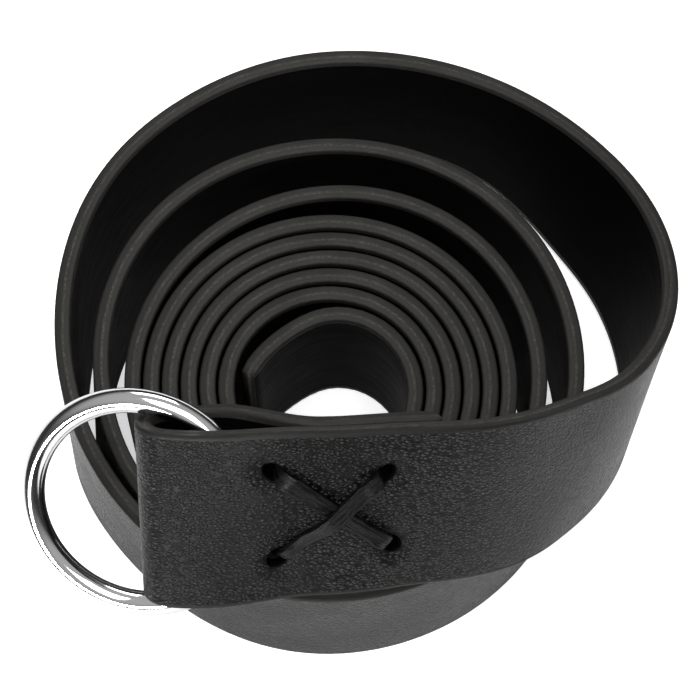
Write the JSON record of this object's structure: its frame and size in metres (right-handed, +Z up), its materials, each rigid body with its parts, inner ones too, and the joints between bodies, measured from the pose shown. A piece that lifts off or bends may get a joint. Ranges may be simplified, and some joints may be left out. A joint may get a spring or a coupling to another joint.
{
  "type": "ring belt",
  "caption": "Rolled leather belt standing on its edge, outer end folded back round a metal ring and laced with a leather cross.",
  "frame": {"origin": "on the ground under the middle of the object's box", "axes": "+Z up along the roll's axis and the strap's width, -Y to the front, where the raised end and the ring lie, +X to the right"},
  "size_m": [0.1116, 0.1116, 0.0641],
  "materials": {
    "strap": "fine pebbled grain, satin, with dark raw edges",
    "ring": "polished",
    "lace": "creased satin"
  },
  "bodies": {
    "belt": {"strap": "strap", "lace": "lace"},
    "ring": {"ring": "ring"}
  },
  "joints": [
    {"name": "ring_spin", "type": "hinge", "parent": "belt", "child": "ring", "pos_m": [-0.03629, -0.03948, 0.04577], "axis": [-0.1862, -0.6927, 0.6968], "continuous": true}
  ]
}
